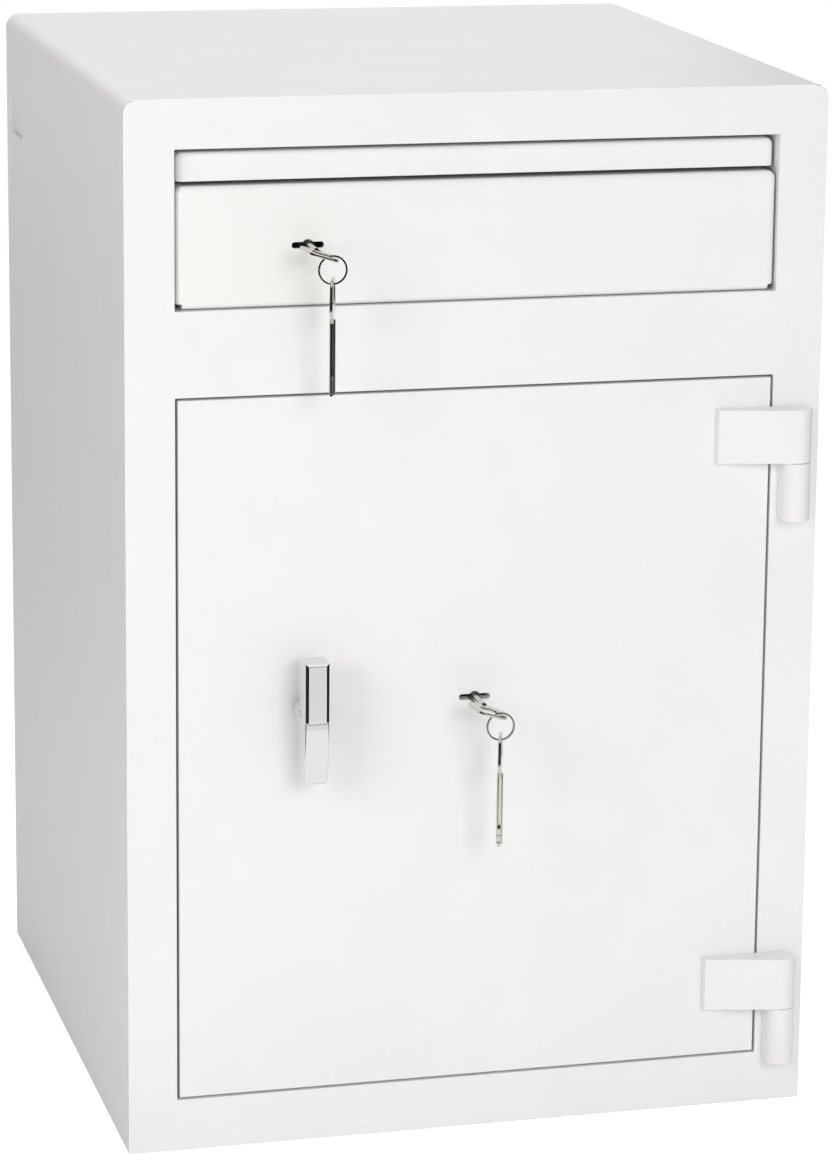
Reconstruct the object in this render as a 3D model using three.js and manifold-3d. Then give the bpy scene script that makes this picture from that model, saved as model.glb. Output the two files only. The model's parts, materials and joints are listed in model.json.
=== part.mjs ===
// Deposit safe: a welded sheet-steel cabinet with a key-locked deposit drawer above a key-locked,
// bolted door. Millimetres. Pieces are drawn from the cabinet's front left bottom corner, with X to
// the right, Y from the front to the back and Z up, and the assembly is then centred on its base.
import * as THREE from "three";
import { mergeVertices } from "three/addons/utils/BufferGeometryUtils.js";
import Module from "manifold-3d";

const wasm = await Module();
wasm.setup();

// Cabinet
const cabinetWidth = 500;
const cabinetDepth = 500;
const cabinetHeight = 750;
const shellSheet = 4;
const shellBend = 10;
const baseSheet = 5;
const anchorHole = 14;
const anchorInsetX = 90;
const anchorInsetY = 110;
const fitGap = 0.3;
const overrun = 1;

// Front frame and its two openings
const frameSheet = 5;
const returnSheet = 5;
const stileWidth = 35;
const topRail = 34.5;
const drawerOpening = 111;
const midRail = 60;
const bottomRail = 37.5;
const doorReturnDepth = 55;
const drawerReturnDepth = 45;

// Door
const doorGap = 1.8;
const doorPlateThickness = 10;
const innerFrameInset = 7.5;
const innerFrameSheet = 3;
const innerFrameDepth = 40;
const coverSheet = 2;
const coverCorner = 4;
const coverScrewShank = 5;
const coverScrewHead = 10;
const coverScrewHeadHeight = 2.5;
const coverScrewReach = 3;
const coverScrewInset = 14;
const coverTab = 26;

// Lift-off hinges
const hingeRadius = 10.1;
const hingeStandOff = 10.5;
const hingeFromSide = 19.6;
const strapLength = 57.4;
const strapTipThickness = 8;
const strapHeight = 38.3;
const barrelHeight = 42.4;
const strapBelowDoorTop = 21;
const strapAboveDoorFoot = 75.2;
const strapUnderPlate = 1;
const hingePinDiameter = 8;
const hingePinReach = 32;

// Boltwork
const lockingBoltDiameter = 18;
const lockingBoltLength = 51;
const topBoltBelowDoorTop = 87.7;
const middleBoltBelowHandle = 28;
const bottomBoltAboveDoorFoot = 85.7;
const strikeClearance = 2;
const strikeCorner = 3;
const boltSetBack = 32;
const boltRestInset = 8.2;
const boltThrow = 22;
const boltClearance = 0.6;
const boltBarThickness = 6;
const boltBarDepth = 24;
const boltBarMargin = 22;
const upperDogBelowDoorTop = 137.7;
const lowerDogAboveDoorFoot = 140.7;
const dogBoltDiameter = 16;
const dogBoltReach = 22;
const dogSlotClearance = 1.5;
const guideSheet = 3;
const guideInset = 16;
const guideFoot = 14;

// Handle
const handleFromDoorEdge = 89.8;
const handleAboveDoorMiddle = 30;
const hubDiameter = 19;
const hubLength = 19;
const leverWidth = 17;
const leverAbove = 41;
const leverBelow = 47;
const leverThickness = 20.4;
const leverTipThickness = 15;
const leverChamfer = 2;
const spindleDiameter = 12;
const spindleSocket = 12;
const camThickness = 4;
const camStandOff = 3;
const camSlotWidth = 8.6;
const camRim = 6;
const camSlotSpareTurn = 0.06;
const followerDiameter = 8;
const followerHeadExtra = 5;
const followerHeadHeight = 3;
const followerRestRadius = 14;
const earHalfHeight = 16;
const earCorner = 2;
const handleTurn = Math.PI / 2;
const clipThickness = 1.5;
const clipWidth = 3;
const clipMouth = 8;

// Key locks
const doorKeyholeFromDoorEdge = 212.2;
const doorKeyholeAboveHandle = 0.2;
const drawerKeyholeFromEdge = 91.3;
const drawerKeyholeAboveEdge = 42.4;
const lockWidth = 60;
const lockHeight = 70;
const lockCorner = 3;
const lockWall = 2;
const doorLockDepth = 25.7;
const bitRoom = 1.5;
const drawerBoltBehindFace = 12;
const doorBoltBeforeArm = 1;
const lockBoltWidth = 12;
const lockBoltDepth = 6;
const lockBoltLength = 24;
const lockBoltThrow = 14;
const lockBoltLift = 1.6;
const keyholeWidth = 22.6;
const keyholeHeight = 4.4;
const keyholeRound = 8;
const keyholeCorner = 2;
const armHeight = 21;
const armThickness = 4;
const armSetBack = 20;
const armEndMargin = 10;
const armBelowBolt = 1.8;
const notchClearance = 1.2;
const armNotchClearance = 2.8;
const notchSpareDepth = 3;

// Keys
const keyExposed = 53;
const keyInserted = 27.5;
const keyRestTurn = THREE.MathUtils.degToRad(17.5);
const spareTurn = THREE.MathUtils.degToRad(18);
const keyThickness = 2.2;
const keyShank = 4.5;
const bowLength = 27;
const bowEndHalf = 10;
const bowShoulderHalf = 14;
const bowShoulderAt = 20;
const bowNeckHalf = 3;
const bowNeckLength = 3.5;
const bowNeckFillet = 1;
const bowCorner = 2.5;
const bowHoleHalf = 7;
const bowHoleLength = 15;
const bowHoleCorner = 3;
const bowEndStrip = 3;
const bitLength = 13.5;
const shankTip = 1;
const bitHalf = 9.6;
const bitCuts = [0, 1.6, 0.6, 2.4, 1.1];
const ringRadius = 9.6;
const ringWire = 1.2;
const ringFromBowEnd = 8;
const keySlack = 0.3;

// Deposit drawer
const drawerRecess = 2;
const drawerTravel = 220;
const drawerGap = 1.4;
const drawerFootGap = 0.6;
const drawerSheet = 2;
const drawerBend = 4.5;
const drawerCornerExtra = 1;
const drawerToHeader = 3;
const drawerFrontDepth = 33;
const cornerNotch = 4;
const traySideInset = 15;
const trayDepth = 300;
const trayFloorAbove = 25.5;
const trayBelowFrontTop = 4.5;
const trayFixedFloor = 18;

// Header strip above the drawer
const headerRecess = 7;
const headerSheet = 2;
const headerHeight = 19.5;
const headerDepth = 32;
const headerEndGap = 2.3;
const headerTopGap = 3.5;
const headerBend = 4.5;
const headerCornerExtra = 0.3;
const headerFoot = 40;
const headerFootInset = 60;

// Drop flap under the drawer
const flapSheet = 2;
const flapAngle = THREE.MathUtils.degToRad(24);
const flapLength = 262;
const flapRoll = 9;
const flapPinDiameter = 5;
const flapPinBehindFront = 23;
const flapSideGap = 3;
const flapToRamp = 2;
const glideFromHinge = 240;
const glideRadius = 6;
const glideWidth = 8;
const glideDrop = 8;
const glideEarLength = 26;
const rampPastGlide = 3;
const rampSheet = 3;
const rampGap = 0.4;

// Slides
const slideHeight = 45;
const slideSheet = 1.5;
const slideLip = 7.5;
const slideClearance = 4;
const slideAboveFloor = 36;
const slideBehindFront = 27;
const slideLength = 320;
const slideMemberLength = 290;

// Drop duct
const ductSheet = 3;
const ductBelowDrawer = 104.5;
const ductRear = 60;
const dividerSheet = 3;
const baffleSheet = 3;
const baffleReach = 92;
const baffleBelowDrawer = 4.5;
const toothPitch = 24;
const toothDepth = 14;

// Slot near the top rear of the left side, closed by a cap from inside
const slotLength = 68;
const slotHeight = 30;
const slotFromBack = 44;
const slotBelowTop = 74;
const capDish = 1;
const capSetBack = 3;
const capLap = 2.4;

// Levels and edges that follow from the sizes above
const openingLeft = stileWidth;
const openingRight = cabinetWidth - stileWidth;
const drawerTop = cabinetHeight - topRail;
const drawerBottom = drawerTop - drawerOpening;
const doorTop = drawerBottom - midRail;
const doorLeft = openingLeft + doorGap;
const doorRight = openingRight - doorGap;
const doorLow = bottomRail + doorGap;
const doorHigh = doorTop - doorGap;
const innerLeft = doorLeft + innerFrameInset;
const innerRight = doorRight - innerFrameInset;
const innerLow = doorLow + innerFrameInset;
const innerHigh = doorHigh - innerFrameInset;
const innerBack = doorPlateThickness + innerFrameDepth;
const hingeX = cabinetWidth - hingeFromSide;
const hingeY = -hingeStandOff;
const strapTops = {
  upper: doorHigh - strapBelowDoorTop,
  lower: doorLow + strapAboveDoorFoot,
};
const handleX = doorLeft + handleFromDoorEdge;
const handleZ = (doorLow + doorHigh) / 2 + handleAboveDoorMiddle;
const lockingBoltHeights = {
  top: doorHigh - topBoltBelowDoorTop,
  middle: handleZ - middleBoltBelowHandle,
  bottom: doorLow + bottomBoltAboveDoorFoot,
};
const dogBoltHeights = {
  upper: doorHigh - upperDogBelowDoorTop,
  lower: doorLow + lowerDogAboveDoorFoot,
};
const doorKeyholeX = doorLeft + doorKeyholeFromDoorEdge;
const doorKeyholeZ = handleZ + doorKeyholeAboveHandle;
const boltTip = innerLeft + boltRestInset - boltClearance - lockingBoltDiameter / 2;
const boltRear = boltTip + lockingBoltLength;
const panLeft = openingLeft + drawerGap;
const panRight = openingRight - drawerGap;
const headerHigh = drawerTop - headerTopGap;
const headerLow = headerHigh - headerHeight;
const panLow = drawerBottom + drawerFootGap;
const panHigh = headerLow - drawerToHeader;
const panBack = drawerRecess + drawerFrontDepth;
const drawerKeyholeX = panLeft + drawerKeyholeFromEdge;
const drawerKeyholeZ = panLow + drawerKeyholeAboveEdge;
const trayLeft = openingLeft + traySideInset;
const trayRight = openingRight - traySideInset;
const trayFloor = drawerBottom + trayFloorAbove;
const trayRim = panHigh - trayBelowFrontTop;
const trayBack = panBack + trayDepth;
const flapY = panBack + flapPinBehindFront;
const flapZ = trayFloor + flapSheet / 2;
const dividerLow = doorTop + returnSheet;
const dividerHigh = dividerLow + dividerSheet;
const ductLeft = openingLeft - fitGap - ductSheet;
const ductRight = openingRight + fitGap + ductSheet;
const ductBack = cabinetDepth - ductRear;
const ductBottom = drawerBottom - ductBelowDrawer;
const baffleTop = drawerBottom - baffleBelowDrawer;
const slotCentreY = cabinetDepth - slotFromBack;
const slotCentreZ = cabinetHeight - slotBelowTop;

const arcSteps = 6;
const roundSteps = 28;
const smallSteps = 16;
const pathSteps = 18;
const discSteps = 48;
const weldTolerance = 1e-3;

// A closed geometry becomes a solid that can be joined and cut.
function solid(geometry) {
  const bare = geometry.clone();
  bare.deleteAttribute("normal");
  bare.deleteAttribute("uv");
  const merged = mergeVertices(bare, weldTolerance);
  return new wasm.Manifold(
    new wasm.Mesh({
      numProp: 3,
      vertProperties: merged.attributes.position.array,
      triVerts: new Uint32Array(merged.index.array),
    }),
  );
}

function join(first, ...others) {
  return others.reduce((whole, other) => whole.add(other), first);
}

function cut(first, ...tools) {
  return tools.reduce((whole, tool) => whole.subtract(tool), first);
}

function block([x0, x1], [y0, y1], [z0, z1]) {
  const geometry = new THREE.BoxGeometry(x1 - x0, y1 - y0, z1 - z0);
  geometry.translate((x0 + x1) / 2, (y0 + y1) / 2, (z0 + z1) / 2);
  return solid(geometry);
}

// A round bar along one axis. The centre gives the other two coordinates in X, Y, Z order.
function bar(axis, diameter, [from, to], [p, q], steps = roundSteps) {
  const geometry = new THREE.CylinderGeometry(diameter / 2, diameter / 2, to - from, steps);
  const middle = (from + to) / 2;
  if (axis === "x") geometry.rotateZ(-Math.PI / 2).translate(middle, p, q);
  if (axis === "y") geometry.translate(p, middle, q);
  if (axis === "z") geometry.rotateX(Math.PI / 2).translate(p, q, middle);
  return solid(geometry);
}

// Plates are outlines pushed through their thickness: a front plate is drawn in X and Z, a side plate
// in Y and Z, and a level plate in X and Y.
const frontBasis = new THREE.Matrix4().makeBasis(
  new THREE.Vector3(1, 0, 0),
  new THREE.Vector3(0, 0, 1),
  new THREE.Vector3(0, -1, 0),
);
const sideBasis = new THREE.Matrix4().makeBasis(
  new THREE.Vector3(0, 1, 0),
  new THREE.Vector3(0, 0, 1),
  new THREE.Vector3(1, 0, 0),
);

function extrude(shape, depth) {
  return new THREE.ExtrudeGeometry(shape, { depth, bevelEnabled: false, curveSegments: arcSteps });
}

function frontPlate(shape, y0, y1) {
  return solid(extrude(shape, y1 - y0).applyMatrix4(frontBasis).translate(0, y1, 0));
}

function sidePlate(shape, x0, x1) {
  return solid(extrude(shape, x1 - x0).applyMatrix4(sideBasis).translate(x0, 0, 0));
}

function levelPlate(shape, z0, z1) {
  return solid(extrude(shape, z1 - z0).translate(0, 0, z0));
}

// A rectangle with its own corner radius at the low left, low right, high right and high left.
function roundedRect([x0, x1], [y0, y1], [lowLeft, lowRight, highRight, highLeft]) {
  const shape = new THREE.Shape();
  const corner = (x, y, radius, start) => {
    if (radius > 0) shape.absarc(x, y, radius, start, start + Math.PI / 2, false);
    else shape.lineTo(x, y);
  };
  shape.moveTo(x0 + lowLeft, y0);
  corner(x1 - lowRight, y0 + lowRight, lowRight, -Math.PI / 2);
  corner(x1 - highRight, y1 - highRight, highRight, 0);
  corner(x0 + highLeft, y1 - highLeft, highLeft, Math.PI / 2);
  corner(x0 + lowLeft, y0 + lowLeft, lowLeft, Math.PI);
  return shape;
}

function evenRect(xs, ys, radius = 0) {
  return roundedRect(xs, ys, [radius, radius, radius, radius]);
}

function polygon(points) {
  return new THREE.Shape(points.map(([x, y]) => new THREE.Vector2(x, y)));
}

// The outline of a strip that follows a line of points, reaching left and right of it.
function stripOutline(points, left, right) {
  const normals = points.map((_, i) => {
    const a = points[Math.max(i - 1, 0)];
    const b = points[Math.min(i + 1, points.length - 1)];
    return new THREE.Vector2(-(b.y - a.y), b.x - a.x).normalize();
  });
  const away = (i, reach) => points[i].clone().addScaledVector(normals[i], reach);
  const order = points.map((_, i) => i);
  return [
    ...order.map((i) => away(i, -right)),
    ...order.reverse().map((i) => away(i, left)),
  ];
}

// A folded pan, open at the back, with bent edges round its face.
function foldedPan([x0, x1], [z0, z1], front, back, sheet, bend, cornerRadius) {
  const bentBlock = (inset, radius, y0, y1) => {
    const flat = inset + radius;
    const corner = cornerRadius - inset - radius > 0 ? cornerRadius - inset - radius : 0;
    const outline = evenRect([x0 + flat, x1 - flat], [z0 + flat, z1 - flat], corner);
    const geometry = new THREE.ExtrudeGeometry(outline, {
      depth: y1 - y0,
      bevelThickness: radius,
      bevelSize: radius,
      bevelSegments: arcSteps,
      curveSegments: arcSteps,
    });
    return solid(geometry.applyMatrix4(frontBasis).translate(0, y1 + radius, 0));
  };
  const behind = block(
    [x0 - overrun, x1 + overrun],
    [back, back + 2 * bend + overrun],
    [z0 - overrun, z1 + overrun],
  );
  const outer = bentBlock(0, bend, front, back);
  const hollow = bentBlock(sheet, bend - sheet, front + sheet, back + bend);
  return cut(outer, hollow, behind);
}

const assembly = new THREE.Group();
assembly.position.set(-cabinetWidth / 2, -cabinetDepth / 2, 0);

const finishes = {
  paint: { color: 0xf1f1f2, roughness: 0.45, metalness: 0 },
  chrome: { color: 0xd9d9dc, roughness: 0.12, metalness: 1 },
  nickel: { color: 0xc9c7c0, roughness: 0.3, metalness: 1 },
  steel: { color: 0xa9abae, roughness: 0.4, metalness: 1 },
  zinc: { color: 0xb9bcc0, roughness: 0.5, metalness: 1 },
  nylon: { color: 0x2a2a2c, roughness: 0.6, metalness: 0 },
};

function piece(name, body, finish, parent = assembly) {
  const made = body.getMesh();
  const geometry = new THREE.BufferGeometry();
  geometry.setAttribute("position", new THREE.BufferAttribute(made.vertProperties, 3));
  geometry.setIndex(new THREE.BufferAttribute(made.triVerts, 1));
  geometry.computeVertexNormals();
  const mesh = new THREE.Mesh(geometry, new THREE.MeshStandardMaterial(finishes[finish]));
  mesh.name = name;
  parent.add(mesh);
  return mesh;
}

// Cabinet shell: side, top and side bent from one sheet and welded behind the front frame.
function buildCabinet() {
  const outer = roundedRect([0, cabinetWidth], [0, cabinetHeight], [0, 0, shellBend, shellBend]);
  const innerBend = shellBend - shellSheet;
  const hollow = roundedRect(
    [shellSheet, cabinetWidth - shellSheet],
    [-overrun, cabinetHeight - shellSheet],
    [0, 0, innerBend, innerBend],
  );
  const slot = (grow, x0, x1) => {
    const half = [slotLength / 2 + grow, slotHeight / 2 + grow];
    const ys = [slotCentreY - half[0], slotCentreY + half[0]];
    const zs = [slotCentreZ - half[1], slotCentreZ + half[1]];
    return sidePlate(evenRect(ys, zs, half[1]), x0, x1);
  };
  const shell = cut(
    frontPlate(outer, frameSheet, cabinetDepth),
    frontPlate(hollow, 0, cabinetDepth + overrun),
    slot(0, -overrun, shellSheet + overrun),
  );
  piece("cabinet_shell", shell, "paint");
  const cap = join(
    slot(-fitGap, capSetBack, shellSheet + fitGap),
    slot(capLap, shellSheet + fitGap / 2, shellSheet + fitGap / 2 + capDish),
  );
  piece("side_slot_cap", cap, "paint");

  const inside = [shellSheet + fitGap, cabinetWidth - shellSheet - fitGap];
  const backBend = innerBend;
  const back = roundedRect(
    inside,
    [baseSheet, cabinetHeight - shellSheet - fitGap],
    [0, 0, backBend, backBend],
  );
  piece("back_panel", frontPlate(back, cabinetDepth - shellSheet, cabinetDepth), "paint");

  const base = block(inside, [frameSheet, cabinetDepth], [0, baseSheet]);
  const anchors = [anchorInsetX, cabinetWidth - anchorInsetX].flatMap((x) =>
    [anchorInsetY, cabinetDepth - anchorInsetY].map((y) =>
      bar("z", anchorHole, [-overrun, baseSheet + overrun], [x, y]),
    ),
  );
  piece("base_plate", cut(base, ...anchors), "paint");
}

// Front frame: one face plate with a deep return round each opening, and the holes that take the bolts.
function buildFrontFrame() {
  const opening = [openingLeft, openingRight];
  const ring = (zs, depth) => {
    const outer = evenRect(
      [opening[0] - returnSheet, opening[1] + returnSheet],
      [zs[0] - returnSheet, zs[1] + returnSheet],
    );
    return frontPlate(outer, frameSheet / 2, depth);
  };
  const hole = (zs, depth) => block(opening, [-overrun, depth + overrun], zs);
  const face = roundedRect([0, cabinetWidth], [0, cabinetHeight], [0, 0, shellBend, shellBend]);
  const doorZs = [bottomRail, doorTop];
  const drawerZs = [drawerBottom, drawerTop];
  let frame = join(
    frontPlate(face, 0, frameSheet),
    ring(doorZs, doorReturnDepth),
    ring(drawerZs, drawerReturnDepth),
  );
  frame = cut(frame, hole(doorZs, doorReturnDepth), hole(drawerZs, drawerReturnDepth));
  const strikes = Object.values(lockingBoltHeights).map((z) => {
    const half = lockingBoltDiameter / 2 + strikeClearance;
    const outline = evenRect([boltSetBack - half, boltSetBack + half], [z - half, z + half], strikeCorner);
    return sidePlate(outline, openingLeft - returnSheet - overrun, openingLeft + overrun);
  });
  const dogSlots = Object.values(dogBoltHeights).map((z) => {
    const half = dogBoltDiameter / 2 + dogSlotClearance;
    const ys = [boltSetBack - half - hingeStandOff / 2, boltSetBack + half];
    const outline = evenRect(ys, [z - half, z + half], strikeCorner);
    return sidePlate(outline, openingRight - overrun, openingRight + returnSheet + overrun);
  });
  const lock = drawerLockBolt();
  const keeper = block(
    [lock.x0 - notchClearance, lock.x1 + notchClearance],
    [lock.y0 - notchClearance, lock.y1 + notchClearance],
    [drawerBottom - returnSheet - overrun, drawerBottom + overrun],
  );
  piece("front_frame", cut(frame, ...strikes, ...dogSlots, keeper), "paint");
}

// Drop duct round the drawer: two sides, a top and a rear wall, standing in a divider plate.
function buildDuct() {
  const ys = [drawerReturnDepth, ductBack];
  const outer = [ductLeft, ductRight];
  const ceiling = drawerTop + fitGap;
  const duct = block(outer, ys, [ductBottom, ceiling + ductSheet]);
  const inside = block(
    [ductLeft + ductSheet, ductRight - ductSheet],
    [ys[0] - overrun, ys[1] - ductSheet],
    [ductBottom - overrun, ceiling],
  );
  const underFrame = block(
    [ductLeft - overrun, ductRight + overrun],
    [ys[0] - overrun, doorReturnDepth + fitGap],
    [ductBottom - overrun, dividerLow],
  );
  const sill = block(
    [ductLeft, ductRight],
    [drawerReturnDepth, drawerReturnDepth + ductSheet],
    [dividerLow, drawerBottom],
  );
  piece("drop_duct", join(cut(duct, inside, underFrame), sill), "zinc");

  const divider = block(
    [shellSheet + fitGap, cabinetWidth - shellSheet - fitGap],
    [frameSheet, cabinetDepth - shellSheet],
    [dividerLow, dividerHigh],
  );
  const well = block(
    [ductLeft - fitGap, ductRight + fitGap],
    [drawerReturnDepth - fitGap, ductBack + fitGap],
    [dividerLow - overrun, dividerHigh + overrun],
  );
  piece("divider_plate", cut(divider, well), "zinc");

  const slope = Math.SQRT1_2;
  const topY = ductBack - ductSheet - fitGap;
  const along = [baffleReach * slope, baffleSheet * slope];
  const inX = [ductLeft + ductSheet + fitGap, ductRight - ductSheet - fitGap];
  const section = polygon([
    [topY, baffleTop],
    [topY - along[0], baffleTop - along[0]],
    [topY - along[0] + along[1], baffleTop - along[0] - along[1]],
    [topY, baffleTop - 2 * along[1]],
  ]);
  const teeth = [];
  const count = Math.floor((inX[1] - inX[0]) / toothPitch);
  const firstTooth = (inX[0] + inX[1] - (count - 1) * toothPitch) / 2;
  const lowY = topY - along[0];
  const lowZ = baffleTop - along[0] - along[1];
  for (let i = 0; i < count; i += 1) {
    const x = firstTooth + i * toothPitch;
    const half = toothPitch / 3;
    const notch = polygon([
      [x - half, lowY - overrun],
      [x + half, lowY - overrun],
      [x, lowY + toothDepth * slope],
    ]);
    teeth.push(levelPlate(notch, lowZ - toothDepth, lowZ + toothDepth + baffleSheet * 2));
  }
  piece("anti_fishing_baffle", cut(sidePlate(section, ...inX), ...teeth), "zinc");
}

// Header strip: a folded strip that closes the slot between the drawer and the top rail.
function buildHeader() {
  const xs = [openingLeft + headerEndGap, openingRight - headerEndGap];
  const pan = foldedPan(
    xs,
    [headerLow - headerBend * 2, headerHigh],
    headerRecess,
    headerRecess + headerDepth,
    headerSheet,
    headerBend,
    headerBend + headerCornerExtra,
  );
  const below = block(
    [xs[0] - overrun, xs[1] + overrun],
    [headerRecess - overrun, headerRecess + headerDepth + overrun],
    [headerLow - headerBend * 2 - overrun, headerLow],
  );
  const hangers = [xs[0] + headerFootInset, xs[1] - headerFootInset].map((x) =>
    block(
      [x - headerFoot / 2, x + headerFoot / 2],
      [headerRecess + headerDepth - headerSheet, drawerReturnDepth - overrun],
      [headerHigh - headerSheet, drawerTop],
    ),
  );
  piece("header_strip", join(cut(pan, below), ...hangers), "paint");
}

// Ball slides: a fixed channel on the duct wall and a running channel on the tray, nested.
function buildSlides(drawerGroup) {
  const low = trayFloor + slideAboveFloor - slideHeight / 2;
  const channel = (xs, lipFrom, ys, zs) => {
    const web = block(xs, ys, zs);
    const lipXs = [Math.min(xs[0], lipFrom), Math.max(xs[1], lipFrom)];
    const lower = block(lipXs, ys, [zs[0], zs[0] + slideSheet]);
    const upper = block(lipXs, ys, [zs[1] - slideSheet, zs[1]]);
    return join(web, lower, upper);
  };
  const fixedZs = [low, low + slideHeight];
  const runningZs = [low + slideClearance, low + slideHeight - slideClearance];
  const start = panBack + slideBehindFront;
  const fixedYs = [start, start + slideLength];
  const runningYs = [start, start + slideMemberLength];
  const wallLeft = ductLeft + ductSheet;
  const wallRight = ductRight - ductSheet;
  const left = [wallLeft, wallLeft + slideSheet];
  const right = [wallRight - slideSheet, wallRight];
  piece("slide_rail_left", channel(left, left[1] + slideLip, fixedYs, fixedZs), "zinc");
  piece("slide_rail_right", channel(right, right[0] - slideLip, fixedYs, fixedZs), "zinc");
  const runLeft = [trayLeft - slideSheet, trayLeft];
  const runRight = [trayRight, trayRight + slideSheet];
  piece(
    "slide_runner_left",
    channel(runLeft, runLeft[0] - slideLip, runningYs, runningZs),
    "zinc",
    drawerGroup,
  );
  piece(
    "slide_runner_right",
    channel(runRight, runRight[1] + slideLip, runningYs, runningZs),
    "zinc",
    drawerGroup,
  );
}

// Hinges: a strap welded to the door wraps a pin that drops into a barrel welded to the frame.
function buildHinge(name, strapTop) {
  const strapLow = strapTop - strapHeight;
  const barrelTop = strapLow - fitGap;
  const tipX = hingeX - strapLength;
  const tip = new THREE.Vector2(tipX - hingeX, -strapTipThickness - hingeY);
  const reach = tip.length();
  const touch = Math.atan2(tip.y, tip.x) + Math.acos(hingeRadius / reach);
  const knuckleEnd = Math.PI / 2 + Math.PI * 2;
  const outline = new THREE.Shape();
  outline.moveTo(doorRight - strapUnderPlate, 0);
  outline.lineTo(tipX, 0);
  outline.lineTo(tipX, -strapTipThickness);
  outline.absarc(hingeX, hingeY, hingeRadius, touch + Math.PI * 2, knuckleEnd, false);
  const socket = hingePinDiameter + 2 * fitGap;
  const strap = cut(
    levelPlate(outline, strapLow, strapTop),
    bar("z", socket, [strapLow - overrun, strapTop - strapTipThickness], [hingeX, hingeY]),
  );
  piece(`hinge_strap_${name}`, strap, "paint");

  const barrelShape = new THREE.Shape();
  barrelShape.moveTo(hingeX + hingeRadius, 0);
  barrelShape.lineTo(hingeX - hingeRadius, 0);
  barrelShape.absarc(hingeX, hingeY, hingeRadius, Math.PI, Math.PI * 2, false);
  const barrel = cut(
    levelPlate(barrelShape, barrelTop - barrelHeight, barrelTop),
    bar("z", socket, [barrelTop - hingePinReach - fitGap, barrelTop + overrun], [hingeX, hingeY]),
  );
  piece(`hinge_barrel_${name}`, barrel, "paint");

  const pinTop = strapTop - strapTipThickness - fitGap;
  const pin = bar("z", hingePinDiameter, [barrelTop - hingePinReach, pinTop], [hingeX, hingeY]);
  piece(`hinge_pin_${name}`, pin, "steel");
}

// A keyhole is a slot for the bit with a round hole for the shank.
function keyhole(x, z, y0, y1, round = keyholeRound) {
  const half = [keyholeWidth / 2, keyholeHeight / 2];
  const slot = evenRect([x - half[0], x + half[0]], [z - half[1], z + half[1]], keyholeCorner);
  return join(frontPlate(slot, y0, y1), bar("y", round, [y0, y1], [x, z]));
}

function lockBoltBox(x, z, front) {
  const low = z - lockHeight / 2;
  return {
    x0: x - lockBoltWidth / 2,
    x1: x + lockBoltWidth / 2,
    y0: front,
    y1: front + lockBoltDepth,
    z0: low + fitGap,
    z1: low + fitGap + lockBoltLength,
  };
}

function doorLockBolt() {
  return lockBoltBox(doorKeyholeX, doorKeyholeZ, armSetBack - doorBoltBeforeArm);
}

function drawerLockBolt() {
  return lockBoltBox(drawerKeyholeX, drawerKeyholeZ, drawerRecess + drawerBoltBehindFace);
}

// Key lock: a case with the bit's turning space inside, a rear cover and a bolt that drops out below.
function buildLock(name, x, z, front, back, bolt) {
  const xs = [x - lockWidth / 2, x + lockWidth / 2];
  const zs = [z - lockHeight / 2, z + lockHeight / 2];
  const wall = lockWall;
  const turning = 2 * (bitHalf + bitRoom);
  const well = join(
    bar("y", turning, [front + wall, back + overrun], [x, z]),
    block(
      [bolt.x0 - fitGap, bolt.x1 + fitGap],
      [bolt.y0 - fitGap, bolt.y1 + fitGap],
      [zs[0] - overrun, bolt.z1 + lockBoltLift + fitGap],
    ),
  );
  const casing = cut(
    frontPlate(evenRect(xs, zs, lockCorner), front, back),
    well,
    keyhole(x, z, front - overrun, front + wall + overrun, keyShank + 2 * fitGap),
  );
  piece(`${name}_lock_case`, casing, "zinc");
  const cover = frontPlate(evenRect(xs, zs, lockCorner), back, back + lockWall - fitGap);
  piece(`${name}_lock_cover`, cover, "zinc");
  piece(
    `${name}_lock_bolt`,
    block([bolt.x0, bolt.x1], [bolt.y0, bolt.y1], [bolt.z0, bolt.z1]),
    "steel",
  );
}

// A key drawn along -Y from the lock face: the bit is at the +Y end, and the bow's end at -Y.
function keySolid() {
  const end = -keyExposed;
  const shoulder = end + bowLength;
  const bow = new THREE.Shape();
  bow.moveTo(-bowEndHalf + bowCorner, end);
  bow.lineTo(bowEndHalf - bowCorner, end);
  bow.quadraticCurveTo(bowEndHalf, end, bowEndHalf, end + bowCorner);
  bow.lineTo(bowShoulderHalf, end + bowShoulderAt);
  bow.quadraticCurveTo(bowShoulderHalf, shoulder, bowNeckHalf, shoulder + bowNeckFillet);
  bow.lineTo(bowNeckHalf, shoulder + bowNeckLength);
  bow.lineTo(-bowNeckHalf, shoulder + bowNeckLength);
  bow.lineTo(-bowNeckHalf, shoulder + bowNeckFillet);
  bow.quadraticCurveTo(-bowShoulderHalf, shoulder, -bowShoulderHalf, end + bowShoulderAt);
  bow.lineTo(-bowEndHalf, end + bowCorner);
  bow.quadraticCurveTo(-bowEndHalf, end, -bowEndHalf + bowCorner, end);
  const holeYs = [end + bowEndStrip, end + bowEndStrip + bowHoleLength];
  const hole = evenRect([-bowHoleHalf, bowHoleHalf], holeYs, bowHoleCorner);
  const half = keyThickness / 2;
  const plate = cut(levelPlate(bow, -half, half), levelPlate(hole, -half - overrun, half + overrun));
  const shank = bar("y", keyShank, [shoulder + bowNeckFillet, keyInserted], [0, 0], smallSteps);

  const bitStart = keyInserted - bitLength - shankTip;
  const step = bitLength / bitCuts.length;
  const edge = (side) =>
    bitCuts.flatMap((depth, i) => [
      [side * (bitHalf - depth), bitStart + i * step],
      [side * (bitHalf - depth), bitStart + (i + 1) * step],
    ]);
  const bit = levelPlate(polygon([...edge(1), ...edge(-1).reverse()]), -half, half);
  return join(plate, shank, bit);
}

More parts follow.
